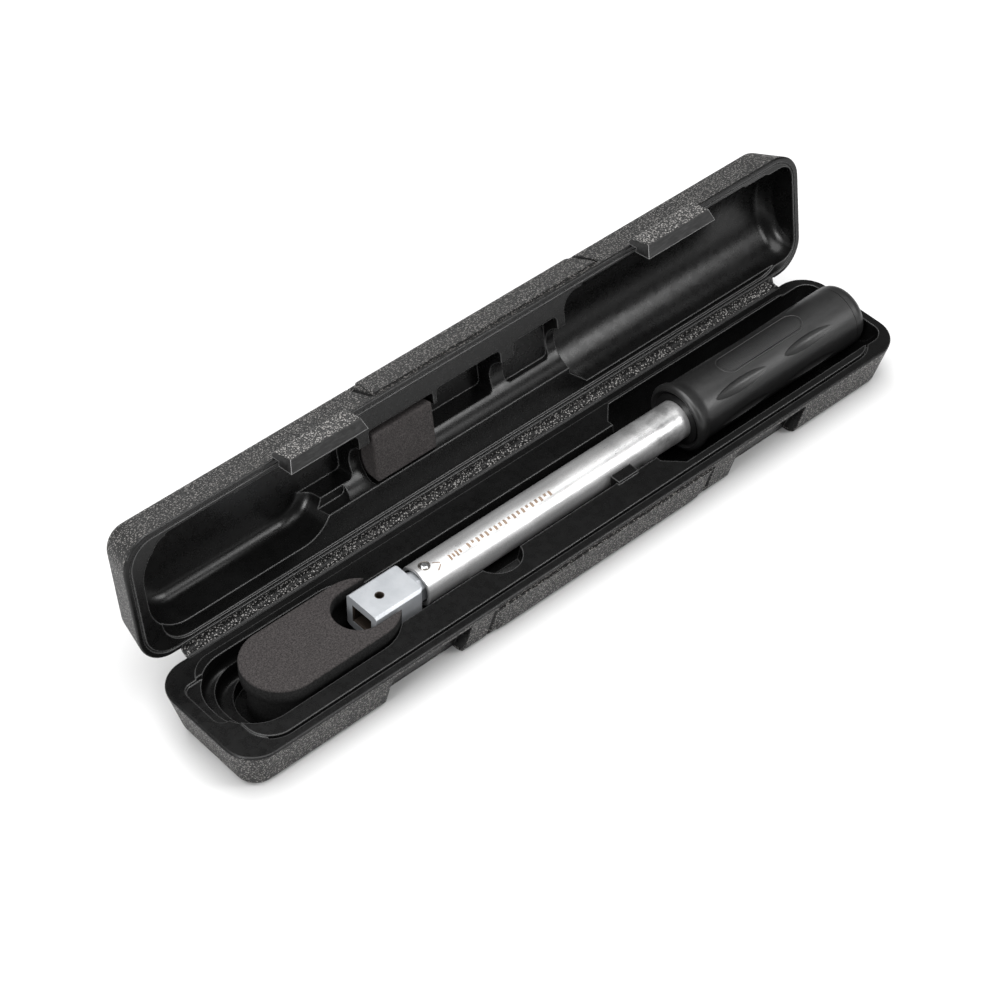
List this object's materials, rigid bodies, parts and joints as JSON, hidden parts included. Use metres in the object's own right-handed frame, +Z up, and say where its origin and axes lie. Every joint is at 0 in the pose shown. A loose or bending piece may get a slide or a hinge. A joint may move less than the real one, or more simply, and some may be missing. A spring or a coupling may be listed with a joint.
{
  "type": "torque wrench",
  "caption": "Preset click torque wrench with an insert-tool receiver, a steel tube and a black moulded grip, lying in its hinged, foam-fitted plastic case",
  "frame": {"origin": "centre of the case base's resting face, on the floor", "axes": "+X along the wrench from its receiver to its grip, -Y towards the latches, +Y towards the lid's hinge, +Z up"},
  "size_m": [0.4296, 0.1075, 0.1088],
  "materials": {
    "case_plastic": "grained outside, smooth satin inside",
    "foam": "fine closed-cell foam, matte",
    "satin_chrome": "satin plated steel",
    "steel": "plain turned steel",
    "grip_plastic": "moulded, soft satin"
  },
  "bodies": {
    "case": {"case_base": "case_plastic", "hinge_leaf_base": "case_plastic", "head_foam": "foam"},
    "lid": {"case_lid": "case_plastic", "hinge_leaf_lid": "case_plastic", "lid_pad": "foam", "latch_pin_left": "steel", "latch_pin_right": "steel"},
    "left_latch": {"latch_left": "case_plastic"},
    "right_latch": {"latch_right": "case_plastic"},
    "wrench": {"body_tube": "satin_chrome", "pivot_pin": "steel", "plunger": "steel", "main_spring": "steel", "end_plug": "steel", "retaining_ring": "steel", "grip": "grip_plastic", "grip_panel": "grip_plastic", "grip_collar": "grip_plastic", "end_cap": "grip_plastic"},
    "swing_head": {"receiver_head": "satin_chrome"},
    "tilt_block": {"click_block": "steel"},
    "preset_screw": {"adjusting_screw": "steel", "lock_nut": "steel"},
    "seat_nut": {"spring_seat": "steel"}
  },
  "joints": [
    {"name": "lid_hinge", "type": "hinge", "parent": "case", "child": "lid", "pos_m": [0, 0.0386, 0.0288], "axis": [1, 0, 0], "range_deg": [0, 98.2]},
    {"name": "left_latch_hinge", "type": "hinge", "parent": "lid", "child": "left_latch", "pos_m": [-0.1055, 0.04904, 0.10408], "axis": [-1, 0, 0], "range_deg": [0, 85]},
    {"name": "right_latch_hinge", "type": "hinge", "parent": "lid", "child": "right_latch", "pos_m": [0.119, 0.04904, 0.10408], "axis": [-1, 0, 0], "range_deg": [0, 85]},
    {"name": "wrench_lift", "type": "slide", "parent": "case", "child": "wrench", "axis": [0, 0, 1], "range_m": [0, 0.1]},
    {"name": "head_swing", "type": "hinge", "parent": "wrench", "child": "swing_head", "pos_m": [-0.0795, 0.001, 0.0258], "axis": [0, 0, 1], "range_deg": [-2, 2], "stiffness_Nm_per_rad": 2},
    {"name": "block_tilt", "type": "hinge", "parent": "wrench", "child": "tilt_block", "pos_m": [-0.018, 0.001, 0.0258], "axis": [0, 0, 1], "range_deg": [-4, 4]},
    {"name": "preset_turn", "type": "hinge", "parent": "wrench", "child": "preset_screw", "pos_m": [0.12, 0.001, 0.0258], "axis": [1, 0, 0], "range_deg": [0, 1440]},
    {"name": "seat_travel", "type": "slide", "parent": "wrench", "child": "seat_nut", "axis": [-1, 0, 0], "range_m": [0, 0.006], "deforming": ["main_spring"]}
  ],
  "couplings": [
    {"joint": "block_tilt", "follows": "head_swing", "ratio": -2},
    {"joint": "preset_turn", "follows": "seat_travel", "rad_per_m": 4188.8}
  ]
}
